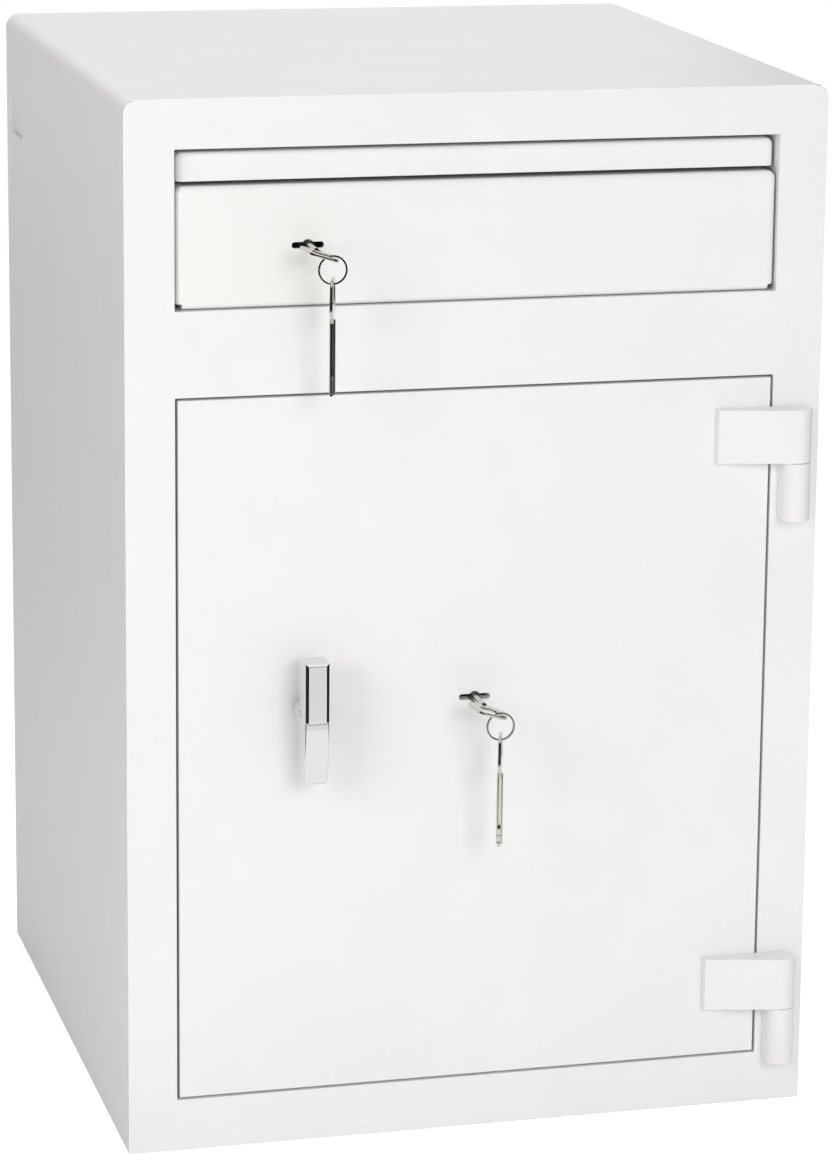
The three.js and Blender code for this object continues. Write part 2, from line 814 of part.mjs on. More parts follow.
// The key in the lock, the ring on its bow and the spare key that hangs from the ring.
function buildKeys(name, x, faceY, z) {
  const lockFrame = new THREE.Group();
  lockFrame.position.set(x, faceY, z);
  assembly.add(lockFrame);
  const key = keySolid();
  const keyMesh = piece(`${name}_key`, key, "nickel", lockFrame);
  keyMesh.rotation.y = keyRestTurn;

  const edge = new THREE.Vector3(bowHoleHalf, 0, keyThickness / 2).applyEuler(keyMesh.rotation);
  const ringY = -keyExposed + ringFromBowEnd;
  const ringZ = edge.z + keySlack + ringWire / 2 - ringRadius;
  const ringProfile = new THREE.EllipseCurve(ringRadius, 0, ringWire / 2, ringWire / 2)
    .getPoints(8)
    .map((p) => new THREE.Vector2(p.x, p.y));
  const ring = solid(new THREE.LatheGeometry(ringProfile, 40));
  const ringMesh = piece(`${name}_key_ring`, ring, "nickel", lockFrame);
  ringMesh.position.set(edge.x, ringY, ringZ);

  const spare = new THREE.Group();
  const wireZ = ringZ - ringRadius;
  const endAboveWire = ringWire / 2 + keySlack + bowEndStrip;
  spare.position.set(edge.x, ringY, wireZ + endAboveWire - keyExposed);
  spare.rotation.set(-Math.PI / 2, Math.PI / 2, -spareTurn, "ZXY");
  lockFrame.add(spare);
  piece(`${name}_spare_key`, key, "nickel", spare);
}

// Door: a plate flush with the frame, an inner frame with the bolt holes and a screwed cover.
function buildDoor() {
  const clearance = spindleDiameter + 2 * fitGap;
  const plate = cut(
    block([doorLeft, doorRight], [0, doorPlateThickness], [doorLow, doorHigh]),
    bar("y", clearance, [-overrun, doorPlateThickness + overrun], [handleX, handleZ]),
    keyhole(doorKeyholeX, doorKeyholeZ, -overrun, doorPlateThickness + overrun),
  );
  piece("door_plate", plate, "paint");

  const xs = [innerLeft, innerRight];
  const zs = [innerLow, innerHigh];
  const ys = [doorPlateThickness, innerBack];
  const wall = innerFrameSheet;
  const opened = block(
    [xs[0] + wall, xs[1] - wall],
    [ys[0] - overrun, ys[1] + overrun],
    [zs[0] + wall, zs[1] - wall],
  );
  const screws = [xs[0] + coverScrewInset, xs[1] - coverScrewInset].flatMap((x) =>
    [zs[0] + coverScrewInset, zs[1] - coverScrewInset].map((z) => [x, z]),
  );
  const tabs = screws.map(([x, z]) => {
    const tabX = x < doorKeyholeX ? [xs[0], xs[0] + coverTab] : [xs[1] - coverTab, xs[1]];
    const tabZ = z < handleZ ? [zs[0], zs[0] + coverTab] : [zs[1] - coverTab, zs[1]];
    return block(tabX, [innerBack - wall, innerBack], tabZ);
  });
  const screwHole = coverScrewShank + fitGap * 2;
  const threadYs = [innerBack - wall - overrun, innerBack + overrun];
  const threads = screws.map((at) => bar("y", screwHole, threadYs, at, smallSteps));
  const boltHole = lockingBoltDiameter + boltClearance;
  const boltHoles = Object.values(lockingBoltHeights).map((z) =>
    bar("x", boltHole, [xs[0] - overrun, xs[0] + wall + overrun], [boltSetBack, z]),
  );
  const innerFrame = cut(block(xs, ys, zs), opened);
  piece("door_inner_frame", cut(join(innerFrame, ...tabs), ...threads, ...boltHoles), "paint");

  const coverYs = [innerBack - overrun, innerBack + coverSheet + overrun];
  const coverHoles = screws.map((at) => bar("y", screwHole, coverYs, at, smallSteps));
  const cover = frontPlate(evenRect(xs, zs, coverCorner), innerBack, innerBack + coverSheet);
  piece("boltwork_cover", cut(cover, ...coverHoles), "paint");
  screws.forEach((at, i) => {
    const seat = innerBack + coverSheet;
    const screw = join(
      bar("y", coverScrewShank, [innerBack - wall - coverScrewReach, seat + overrun], at, smallSteps),
      bar("y", coverScrewHead, [seat, seat + coverScrewHeadHeight], at, smallSteps),
    );
    piece(`cover_screw_${i + 1}`, screw, "steel");
  });

  Object.entries(dogBoltHeights).forEach(([name, z]) => {
    const dog = bar("x", dogBoltDiameter, [innerRight, innerRight + dogBoltReach], [boltSetBack, z]);
    piece(`dog_bolt_${name}`, dog, "steel");
  });
}

// Boltwork: the handle turns a cam whose spiral slot drives a stud, the bolt bar and three bolts.
function buildBoltwork() {
  const camY = [doorPlateThickness + camStandOff, doorPlateThickness + camStandOff + camThickness];
  const rise = boltThrow / handleTurn;
  const centre = [];
  for (let i = 0; i <= pathSteps; i += 1) {
    const turn = (i / pathSteps) * (handleTurn + 2 * camSlotSpareTurn) - camSlotSpareTurn;
    const radius = followerRestRadius + rise * turn;
    const angle = Math.PI + turn;
    const x = handleX + radius * Math.cos(angle);
    const z = handleZ + radius * Math.sin(angle);
    centre.push(new THREE.Vector2(x, z));
  }
  const half = camSlotWidth / 2;
  const through = [camY[0] - overrun, camY[1] + overrun];
  const slot = frontPlate(new THREE.Shape(stripOutline(centre, half, half)), ...through);
  const ends = [centre[0], centre[pathSteps]].map((p) =>
    bar("y", camSlotWidth, through, [p.x, p.y], smallSteps),
  );
  const camRadius = followerRestRadius + boltThrow + half + camRim;
  const spindleHole = spindleDiameter + fitGap * 2;
  const bore = bar("y", spindleHole, through, [handleX, handleZ]);
  const disc = bar("y", 2 * camRadius, camY, [handleX, handleZ], discSteps);
  piece("bolt_cam", cut(disc, slot, ...ends, bore), "zinc");

  const clipY = camY[1] + fitGap;
  const spindleEnd = clipY + clipThickness + fitGap;
  const spindle = bar("y", spindleDiameter, [-spindleSocket, spindleEnd], [handleX, handleZ]);
  piece("handle_spindle", spindle, "steel");
  const clipOuter = spindleHole + 2 * clipWidth;
  const clip = cut(
    bar("y", clipOuter, [clipY, clipY + clipThickness], [handleX, handleZ]),
    bar("y", spindleHole, [clipY - overrun, clipY + clipThickness + overrun], [handleX, handleZ]),
    block(
      [handleX - clipMouth / 2, handleX + clipMouth / 2],
      [clipY - overrun, clipY + clipThickness + overrun],
      [handleZ, handleZ + clipOuter],
    ),
  );
  piece("spindle_clip", clip, "steel");

  const barXs = [boltRear, boltRear + boltBarThickness];
  const heights = Object.values(lockingBoltHeights);
  const barZs = [Math.min(...heights) - boltBarMargin, Math.max(...heights) + boltBarMargin];
  const barYs = [armSetBack, armSetBack + boltBarDepth];
  const followerX = handleX - followerRestRadius;
  const followerHole = followerDiameter + fitGap * 2;
  const ear = frontPlate(
    evenRect(
      [barXs[0], followerX + followerDiameter],
      [handleZ - earHalfHeight, handleZ + earHalfHeight],
      earCorner,
    ),
    armSetBack,
    armSetBack + armThickness,
  );
  const lock = doorLockBolt();
  const armTop = lock.z0 - armBelowBolt;
  const notchWidth = lockBoltWidth + 2 * armNotchClearance;
  const armEnd = lock.x1 + boltThrow + armNotchClearance + armEndMargin;
  const arm = block(
    [barXs[1] + fitGap, armEnd],
    [armSetBack, armSetBack + armThickness],
    [armTop - armHeight, armTop],
  );
  const notches = [0, boltThrow].map((shift) =>
    block(
      [lock.x0 - armNotchClearance + shift, lock.x0 - armNotchClearance + shift + notchWidth],
      [armSetBack - overrun, armSetBack + armThickness + overrun],
      [lock.z0 - lockBoltThrow - notchSpareDepth, armTop + overrun],
    ),
  );
  piece("lock_arm", cut(arm, ...notches), "zinc");
  const earHole = bar(
    "y",
    followerHole,
    [armSetBack - overrun, armSetBack + armThickness + overrun],
    [followerX, handleZ],
  );
  piece("bolt_bar", cut(join(block(barXs, barYs, barZs), ear), earHole), "zinc");

  const followerHead = armSetBack + armThickness + fitGap;
  const headEnd = followerHead + followerHeadHeight;
  const headDiameter = followerDiameter + followerHeadExtra;
  const follower = join(
    bar("y", followerDiameter, [camY[0], followerHead + overrun], [followerX, handleZ]),
    bar("y", headDiameter, [followerHead, headEnd], [followerX, handleZ]),
  );
  piece("cam_follower", follower, "steel");

  Object.entries(lockingBoltHeights).forEach(([name, z]) => {
    const round = bar("x", lockingBoltDiameter, [boltTip, boltRear], [boltSetBack, z]);
    piece(`locking_bolt_${name}`, round, "steel");
  });

  const guideX = innerLeft + guideInset;
  const guideZs = [barZs[0], barZs[1]];
  const web = block([guideX, guideX + guideSheet], [doorPlateThickness, barYs[1]], guideZs);
  const foot = block(
    [guideX, guideX + guideFoot],
    [doorPlateThickness, doorPlateThickness + guideSheet],
    guideZs,
  );
  const guideHole = lockingBoltDiameter + boltClearance;
  const passages = heights.map((z) =>
    bar("x", guideHole, [guideX - overrun, guideX + guideSheet + overrun], [boltSetBack, z]),
  );
  piece("bolt_guide", cut(join(web, foot), ...passages), "zinc");
}

// Lever handle: a block on a round hub, thinner towards its lower end, with chamfered long edges.
function buildHandle() {
  const back = -hubLength;
  const front = back - leverThickness;
  const tip = back - leverTipThickness;
  const zs = [handleZ - leverBelow, handleZ + leverAbove];
  const side = polygon([
    [back, zs[0]],
    [back, zs[1]],
    [front + leverChamfer, zs[1]],
    [front, zs[1] - leverChamfer],
    [front, handleZ],
    [(front * 3 + tip) / 4, (handleZ + zs[0]) / 2],
    [tip, zs[0] + leverChamfer],
    [tip + leverChamfer, zs[0]],
  ]);
  const half = leverWidth / 2;
  const plan = polygon([
    [handleX - half, back],
    [handleX - half, front + leverChamfer],
    [handleX - half + leverChamfer, front],
    [handleX + half - leverChamfer, front],
    [handleX + half, front + leverChamfer],
    [handleX + half, back],
  ]);
  const blockSide = sidePlate(side, handleX - half - overrun, handleX + half + overrun);
  const lever = blockSide.intersect(levelPlate(plan, zs[0] - overrun, zs[1] + overrun));
  const hub = bar("y", hubDiameter, [back - overrun, -fitGap], [handleX, handleZ]);
  const socket = bar(
    "y",
    spindleDiameter + fitGap * 2,
    [-spindleSocket - fitGap, overrun],
    [handleX, handleZ],
  );
  piece("door_handle", cut(join(lever, hub), socket), "chrome");
}

// Drawer: a folded front over the lock, and a tray with a short fixed floor behind it.
function buildDrawer() {
  const drawerGroup = new THREE.Group();
  assembly.add(drawerGroup);
  const lock = drawerLockBolt();
  const pan = foldedPan(
    [panLeft, panRight],
    [panLow, panHigh],
    drawerRecess,
    panBack,
    drawerSheet,
    drawerBend,
    drawerBend + drawerCornerExtra,
  );
  const notchYs = [drawerRecess - overrun, panBack + overrun];
  const notches = [
    [panLeft - overrun, panLeft + cornerNotch],
    [panRight - cornerNotch, panRight + overrun],
  ].map((xs) => block(xs, notchYs, [panLow - overrun, panLow + cornerNotch]));
  const boltSlot = block(
    [lock.x0 - notchClearance, lock.x1 + notchClearance],
    [lock.y0 - notchClearance, lock.y1 + notchClearance],
    [panLow - overrun, panLow + drawerSheet + overrun],
  );
  const face = cut(
    pan,
    ...notches,
    boltSlot,
    keyhole(
      drawerKeyholeX,
      drawerKeyholeZ,
      drawerRecess - overrun,
      drawerRecess + drawerSheet + overrun,
    ),
  );
  piece("drawer_front", face, "paint", drawerGroup);

  const inXs = [trayLeft + drawerSheet, trayRight - drawerSheet];
  const walls = cut(
    block([trayLeft, trayRight], [panBack, trayBack], [trayFloor, trayRim]),
    block(
      inXs,
      [panBack + drawerSheet, trayBack - drawerSheet],
      [trayFloor - overrun, trayRim + overrun],
    ),
  );
  const apron = block(
    [trayLeft, trayRight],
    [panBack, panBack + drawerSheet],
    [panLow + drawerBend, trayRim],
  );
  const ledge = block(
    [trayLeft, trayRight],
    [panBack, panBack + trayFixedFloor],
    [trayFloor, trayFloor + drawerSheet],
  );
  const pinHoles = bar(
    "x",
    flapPinDiameter + fitGap * 2,
    [trayLeft - overrun, trayRight + overrun],
    [flapY, flapZ],
    smallSteps,
  );
  const cheeks = [
    [trayLeft, trayLeft + drawerSheet],
    [trayRight - drawerSheet, trayRight],
  ].map((xs) => bar("x", flapRoll, xs, [flapY, flapZ], smallSteps));
  piece("drawer_tray", cut(join(walls, apron, ledge, ...cheeks), pinHoles), "zinc", drawerGroup);
  const pinXs = [trayLeft + fitGap, trayRight - fitGap];
  const pin = bar("x", flapPinDiameter, pinXs, [flapY, flapZ], smallSteps);
  piece("flap_pin", pin, "steel", drawerGroup);
  buildSlides(drawerGroup);
  buildFlap(drawerGroup, inXs);
}

// Drop flap: hangs open at rest, and glides on it climb two ramps, which lift it as the drawer comes out.
function buildFlap(drawerGroup, inXs) {
  const flap = new THREE.Group();
  flap.position.set(0, flapY, flapZ);
  flap.rotation.x = -flapAngle;
  drawerGroup.add(flap);
  const xs = [inXs[0] + flapSideGap, inXs[1] - flapSideGap];
  const rampInner = glideWidth + rampPastGlide;
  const plateXs = [xs[0] + rampInner + flapToRamp, xs[1] - rampInner - flapToRamp];
  const plateZs = [-flapSheet / 2, flapSheet / 2];
  const earYs = [glideFromHinge - glideEarLength / 2, glideFromHinge + glideEarLength / 2];
  const bore = flapPinDiameter + fitGap * 2;
  const sheet = join(
    block(plateXs, [0, flapLength], plateZs),
    block(xs, earYs, plateZs),
    bar("x", flapRoll, xs, [0, 0]),
  );
  const pinBore = bar("x", bore, [xs[0] - overrun, xs[1] + overrun], [0, 0]);
  piece("drawer_flap", cut(sheet, pinBore), "zinc", flap);

  const level = -glideDrop;
  const spans = {
    left: [xs[0], xs[0] + glideWidth],
    right: [xs[1] - glideWidth, xs[1]],
  };
  Object.entries(spans).forEach(([name, span]) => {
    const foot = block(
      span,
      [glideFromHinge - glideRadius, glideFromHinge + glideRadius],
      [level, -flapSheet / 2 - fitGap],
    );
    const shoe = bar("x", 2 * glideRadius, span, [glideFromHinge, level]);
    piece(`flap_glide_${name}`, join(foot, shoe), "nylon", flap);
  });

  const path = [];
  for (let i = 0; i <= pathSteps; i += 1) {
    const travel = (drawerTravel * i) / pathSteps;
    const angle = flapAngle * (1 - i / pathSteps);
    const y = flapY - travel + glideFromHinge * Math.cos(angle) + level * Math.sin(angle);
    const z = flapZ - glideFromHinge * Math.sin(angle) + level * Math.cos(angle);
    path.push(new THREE.Vector2(y, z));
  }
  const upper = glideRadius + rampGap;
  const outline = stripOutline(path, upper + rampSheet, -upper);
  const rampShape = new THREE.Shape(outline);
  const leftSpan = [ductLeft + ductSheet, xs[0] + rampInner];
  const rightSpan = [xs[1] - rampInner, ductRight - ductSheet];
  piece("flap_ramp_left", sidePlate(rampShape, ...leftSpan), "zinc");
  piece("flap_ramp_right", sidePlate(rampShape, ...rightSpan), "zinc");
}

buildCabinet();
buildFrontFrame();
buildDuct();
buildHeader();
Object.entries(strapTops).forEach(([name, top]) => buildHinge(name, top));
buildDoor();
buildBoltwork();
buildHandle();
buildLock(
  "door",
  doorKeyholeX,
  doorKeyholeZ,
  doorPlateThickness + fitGap,
  doorPlateThickness + fitGap + doorLockDepth,
  doorLockBolt(),
);
buildKeys("door", doorKeyholeX, 0, doorKeyholeZ);
buildDrawer();
buildLock(
  "drawer",
  drawerKeyholeX,
  drawerKeyholeZ,
  drawerRecess + drawerSheet + fitGap,
  panBack - lockWall,
  drawerLockBolt(),
);
buildKeys("drawer", drawerKeyholeX, drawerRecess, drawerKeyholeZ);

export default assembly;
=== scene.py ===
"""Looks of the deposit safe, in the order in which the safe is put together.

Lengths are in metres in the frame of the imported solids: +X right, +Y to the back, +Z up.
"""

import json
import math

import bmesh
import bpy
from mathutils import Matrix, Vector

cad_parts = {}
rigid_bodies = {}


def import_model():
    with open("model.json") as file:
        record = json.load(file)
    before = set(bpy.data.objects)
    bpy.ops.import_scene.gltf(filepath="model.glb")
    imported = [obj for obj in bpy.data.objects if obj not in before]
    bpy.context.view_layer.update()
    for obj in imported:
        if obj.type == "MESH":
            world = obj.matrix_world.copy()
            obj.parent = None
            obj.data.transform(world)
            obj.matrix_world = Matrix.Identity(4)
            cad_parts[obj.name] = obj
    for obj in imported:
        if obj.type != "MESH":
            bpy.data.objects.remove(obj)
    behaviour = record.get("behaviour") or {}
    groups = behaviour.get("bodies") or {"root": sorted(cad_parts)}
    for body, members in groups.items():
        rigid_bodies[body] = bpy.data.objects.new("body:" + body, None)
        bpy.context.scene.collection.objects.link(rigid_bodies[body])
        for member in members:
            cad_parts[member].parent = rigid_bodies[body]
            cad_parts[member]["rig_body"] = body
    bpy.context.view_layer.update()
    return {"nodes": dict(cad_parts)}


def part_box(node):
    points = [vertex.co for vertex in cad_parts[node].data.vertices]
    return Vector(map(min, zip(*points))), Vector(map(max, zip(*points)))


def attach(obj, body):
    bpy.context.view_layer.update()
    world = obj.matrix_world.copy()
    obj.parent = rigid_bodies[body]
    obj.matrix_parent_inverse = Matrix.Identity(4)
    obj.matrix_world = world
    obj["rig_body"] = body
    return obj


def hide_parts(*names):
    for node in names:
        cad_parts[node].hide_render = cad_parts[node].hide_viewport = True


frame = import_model()
scene = bpy.context.scene
scene.view_settings.view_transform = "Standard"
MM = 0.001
same_plane = 0.02 * MM


# Camera. A long lens stands three metres in front of the safe, to its left and above it. The lens is
# shifted a little, which sets the safe's place in the picture without turning the camera.
camera_place = Vector((-0.7692, -3.0871, 1.1437))
camera_yaw = math.radians(15.546)
camera_pitch = math.radians(-13.117)
camera_roll = math.radians(0.833)
lens = bpy.data.cameras.new("long_lens")
lens.sensor_width = 36.0
lens.lens = 134.03
lens.shift_x = -0.0776
lens.shift_y = -0.0628
lens.clip_end = 60.0
camera = bpy.data.objects.new("studio_camera", lens)
camera.matrix_world = (
    Matrix.Translation(camera_place)
    @ Matrix.Rotation(-camera_yaw, 4, "Z")
    @ Matrix.Rotation(math.pi / 2 + camera_pitch, 4, "X")
    @ Matrix.Rotation(camera_roll, 4, "Z")
)
scene.collection.objects.link(camera)
scene.camera = camera


# Studio. The safe stands on a white floor in white surroundings. Four soft lamps light it: one near
# the viewer's right shoulder, one overhead, one low in front and a warm one on the left. Cards that
# only bright metal sees give it its dark edges and pale lower faces.
def add_node(tree, kind, values=None, links=None, **settings):
    """Adds one node with its settings, its socket values and what is linked into it."""
    node = tree.nodes.new(kind)
    for name, value in settings.items():
        setattr(node, name, value)
    for name, value in (values or {}).items():
        node.inputs[name].default_value = value
    for name, source in (links or {}).items():
        tree.links.new(source, node.inputs[name])
    return node


def linear(hex_colour, alpha=1.0):
    """The linear colour of an sRGB hex value."""
    parts = [int(hex_colour[i : i + 2], 16) / 255 for i in (0, 2, 4)]
    curve = [p / 12.92 if p <= 0.04045 else ((p + 0.055) / 1.055) ** 2.4 for p in parts]
    return (*curve, alpha)


surround_light = 0.47
seen_light = 1.0
world = bpy.data.worlds.new("white_surround")
world.use_nodes = True
tree = world.node_tree
tree.nodes.clear()
seen = add_node(tree, "ShaderNodeLightPath")
direct = add_node(
    tree,
    "ShaderNodeMath",
    {},
    {0: seen.outputs["Is Camera Ray"], 1: seen.outputs["Is Glossy Ray"]},
    operation="MAXIMUM",
)
direct = add_node(
    tree,
    "ShaderNodeMath",
    {},
    {0: direct.outputs[0], 1: seen.outputs["Is Transmission Ray"]},
    operation="MAXIMUM",
)
light_sky = add_node(
    tree, "ShaderNodeBackground", {"Color": linear("FFFFFF"), "Strength": surround_light}
)
seen_sky = add_node(tree, "ShaderNodeBackground", {"Color": linear("FFFFFF"), "Strength": seen_light})
sky = add_node(
    tree,
    "ShaderNodeMixShader",
    {},
    {0: direct.outputs[0], 1: light_sky.outputs[0], 2: seen_sky.outputs[0]},
)
add_node(tree, "ShaderNodeOutputWorld", {}, {"Surface": sky.outputs[0]})
scene.world = world

floor_half = 4.0
floor_drop = 0.4 * MM
floor_glow = 0.62
floor_mesh = bpy.data.meshes.new("studio_floor")
floor_mesh.from_pydata(
    [
        (-floor_half, -floor_half, 0),
        (floor_half, -floor_half, 0),
        (floor_half, floor_half, 0),
        (-floor_half, floor_half, 0),
    ],
    [],
    [(0, 1, 2, 3)],
)
floor = bpy.data.objects.new("studio_floor", floor_mesh)
floor.location.z = -floor_drop
scene.collection.objects.link(floor)
floor_finish = bpy.data.materials.new("matt_white_floor")
floor_finish.use_nodes = True
tree = floor_finish.node_tree
tree.nodes.clear()
seen = add_node(tree, "ShaderNodeLightPath")
lift = add_node(
    tree,
    "ShaderNodeMath",
    {1: floor_glow},
    {0: seen.outputs["Is Camera Ray"]},
    operation="MULTIPLY",
)
glow = add_node(
    tree, "ShaderNodeEmission", {"Color": linear("FFFFFF")}, {"Strength": lift.outputs[0]}
)
matt = add_node(tree, "ShaderNodeBsdfDiffuse", {"Color": linear("EFEFEF")})
both = add_node(tree, "ShaderNodeAddShader", {}, {0: matt.outputs[0], 1: glow.outputs[0]})
add_node(tree, "ShaderNodeOutputMaterial", {}, {"Surface": both.outputs[0]})
floor_mesh.materials.append(floor_finish)


def soft_lamp(name, place, aim, width, power, tint="FFFFFF"):
    """A square soft lamp aimed at a point."""
    lamp = bpy.data.lights.new(name, "AREA")
    lamp.color = linear(tint)[:3]
    lamp.shape = "SQUARE"
    lamp.size = width
    lamp.energy = power
    holder = bpy.data.objects.new(name, lamp)
    holder.location = place
    holder.rotation_euler = (Vector(aim) - Vector(place)).to_track_quat("-Z", "Y").to_euler()
    scene.collection.objects.link(holder)
    holder.visible_camera = False
    holder.visible_glossy = False


soft_lamp(
    "shoulder_lamp", place=(0.45, -4.60, 2.10), aim=(0.0, -0.25, 0.4), width=1.5, power=58.0
)
soft_lamp("overhead_lamp", place=(0.35, 0.3, 3.2), aim=(0.05, 0.0, 0.75), width=1.6, power=21.0)
soft_lamp("low_front_lamp", place=(0.3, -2.4, 0.2), aim=(0.1, -0.25, 0.1), width=1.2, power=4.5)
soft_lamp(
    "left_side_lamp",
    place=(-1.5, -1.35, 1.0),
    aim=(-0.25, -0.2, 0.45),
    width=0.8,
    power=9.2,
    tint="FFF8F0",
)


def studio_card(name, colour, corners):
    """A flat card that only bright metal sees."""
    finish = bpy.data.materials.new(name)
    finish.use_nodes = True
    tree = finish.node_tree
    tree.nodes.clear()
    shade = add_node(tree, "ShaderNodeEmission", {"Color": linear(colour), "Strength": 1.0})
    add_node(tree, "ShaderNodeOutputMaterial", {}, {"Surface": shade.outputs[0]})
    mesh = bpy.data.meshes.new(name)
    mesh.from_pydata(corners, [], [(0, 1, 2, 3)])
    mesh.materials.append(finish)
    card = bpy.data.objects.new(name, mesh)
    scene.collection.objects.link(card)
    card.visible_camera = False
    card.visible_diffuse = False
    card.visible_shadow = False
    card.visible_transmission = False


flag_side = 0.75
flag_front = -1.7
flag_back = 1.4
flag_top = 1.6
for side, x in (("left", -flag_side), ("right", flag_side)):
    studio_card(
        side + "_black_flag",
        "222224",
        [(x, flag_front, 0), (x, flag_back, 0), (x, flag_back, flag_top), (x, flag_front, flag_top)],
    )
wall_half = 3.0
wall_place = -2.3
wall_top = 1.5
studio_card(
    "dark_camera_side",
    "303032",
    [
        (-wall_half, wall_place, 0),
        (wall_half, wall_place, 0),
        (wall_half, wall_place, wall_top),
        (-wall_half, wall_place, wall_top),
    ],
)
card_half = 0.9
card_front = -1.35
card_back = -0.45
card_lift = 1 * MM
studio_card(
    "white_floor_card",
    "FFFFFF",
    [
        (-card_half, card_front, card_lift),
        (card_half, card_front, card_lift),
        (card_half, card_back, card_lift),
        (-card_half, card_back, card_lift),
    ],
)


# Cabinet shell. One 4 mm steel sheet is bent round both top edges and welded behind the front
# frame. Its powder coat is white, slightly cool, and has the fine orange peel of a baked coat.
def powder_coat(name, colour, shade):
    """Baked powder coat: a satin film whose slight peel breaks up reflections."""
    peel = 2.2 * MM
    peel_depth = 0.06 * MM
    cloud = 70 * MM
    finish = bpy.data.materials.new(name)
    finish.use_nodes = True
    tree = finish.node_tree
    film = tree.nodes["Principled BSDF"]
    film.inputs["Roughness"].default_value = 0.42
    film.inputs["IOR"].default_value = 1.5
    place = add_node(tree, "ShaderNodeTexCoord").outputs["Object"]
    clouds = add_node(
        tree, "ShaderNodeTexNoise", {"Scale": 1 / cloud, "Detail": 3.0}, {"Vector": place}
    )
    ramp = add_node(tree, "ShaderNodeValToRGB", {}, {"Fac": clouds.outputs["Fac"]})
    ramp.color_ramp.elements[0].position = 0.35
    ramp.color_ramp.elements[0].color = linear(shade)
    ramp.color_ramp.elements[1].position = 0.65
    ramp.color_ramp.elements[1].color = linear(colour)
    tree.links.new(ramp.outputs["Color"], film.inputs["Base Color"])
    grains = add_node(
        tree, "ShaderNodeTexNoise", {"Scale": 1 / peel, "Detail": 2.0}, {"Vector": place}
    )
    bump = add_node(
        tree,
        "ShaderNodeBump",
        {"Strength": 0.12, "Distance": peel_depth},
        {"Height": grains.outputs["Fac"]},
    )
    tree.links.new(bump.outputs["Normal"], film.inputs["Normal"])
    return finish


def recut_flats(shape, least):
    """Cuts each wide level or upright flat anew, so that no old sliver stays folded over."""
    square_on = 0.9999
    enough_faces = 12
    flats = {}
    for face in shape.faces:
        for axis in range(3):
            if abs(face.normal[axis]) > square_on:
                place = round(face.calc_center_median()[axis] / same_plane)
                flats.setdefault((axis, place), []).append(face)
    for (axis, place), faces in flats.items():
        total = sum((face.normal[axis] * face.calc_area() for face in faces))
        if len(faces) < enough_faces or abs(total) < least:
            continue
        inside = set(faces)
        rim = [
            line
            for line in {line for face in faces for line in face.edges}
            if sum(other in inside for other in line.link_faces) == 1
        ]
        normal = Vector((0.0, 0.0, 0.0))
        normal[axis] = math.copysign(1.0, total)
        bmesh.ops.delete(shape, geom=faces, context="FACES_KEEP_BOUNDARY")
        filled = bmesh.ops.triangle_fill(
            shape, use_beauty=True, use_dissolve=False, edges=rim, normal=normal
        )
        for face in filled["geom"]:
            if isinstance(face, bmesh.types.BMFace) and face.normal.dot(normal) < 0:
                face.normal_flip()


def lean_on_flats(mesh, crease):
    """Shades each corner by the flats that meet there, each counted with its whole area."""
    area = {}
    flat_of = []
    for face in mesh.polygons:
        side = face.normal
        flat = (*(round(part, 3) for part in side), round(side.dot(face.center) / same_plane))
        area[flat] = area.get(flat, 0.0) + face.area
        flat_of.append(flat)
    around = [[] for _ in mesh.vertices]
    for face in mesh.polygons:
        for vert in face.vertices:
            around[vert].append(face.index)
    nearest = math.cos(math.radians(crease))
    normals = []
    for face in mesh.polygons:
        for vert in face.vertices:
            flats = {
                flat_of[i]: mesh.polygons[i].normal
                for i in around[vert]
                if mesh.polygons[i].normal.dot(face.normal) > nearest
            }
            flats.setdefault(flat_of[face.index], face.normal)
            lean = sum((side * area[flat] for flat, side in flats.items()), Vector())
            normals.append(lean.normalized())
    mesh.shade_smooth()
    mesh.normals_split_custom_set(normals)


def ease_edges(piece, edge, crease=32.0, steps=2):
    """Rounds every edge sharper than the crease, less where short sides leave no room."""
    room = 0.42
    wide_flat = 1000 * MM**2
    shape = bmesh.new()
    shape.from_mesh(piece.data)
    weight = shape.edges.layers.float.new("bevel_weight_edge")
    sharp = [
        line
        for line in shape.edges
        if len(line.link_faces) == 2 and line.calc_face_angle() > math.radians(crease)
    ]
    for line in sharp:
        near = [other.calc_length() for vert in line.verts for other in vert.link_edges]
        line[weight] = min(1.0, room * min(near) / edge)
    many_sided = [face for face in shape.faces if len(face.verts) > 4]
    bmesh.ops.triangulate(shape, faces=many_sided, quad_method="BEAUTY", ngon_method="BEAUTY")
    shape.to_mesh(piece.data)
    shape.free()
    ease = piece.modifiers.new("broken_edges", "BEVEL")
    ease.width = edge
    ease.segments = steps
    ease.limit_method = "WEIGHT"
    ease.use_clamp_overlap = False
    ease.miter_outer = "MITER_ARC"
    view = bpy.context.evaluated_depsgraph_get()
    eased = bpy.data.meshes.new_from_object(piece.evaluated_get(view))
    piece.modifiers.clear()
    shape = bmesh.new()
    shape.from_mesh(eased)
    recut_flats(shape, wide_flat)
    shape.to_mesh(eased)
    shape.free()
    lean_on_flats(eased, crease)
    eased.name = piece.data.name
    piece.data = eased


def dressed(piece, node, finish):
    """Gives a piece its finish and puts it in the solid's place, on the solid's body."""
    piece.data.materials.clear()
    piece.data.materials.append(finish)
    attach(piece, frame["nodes"][node]["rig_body"])
    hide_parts(node)


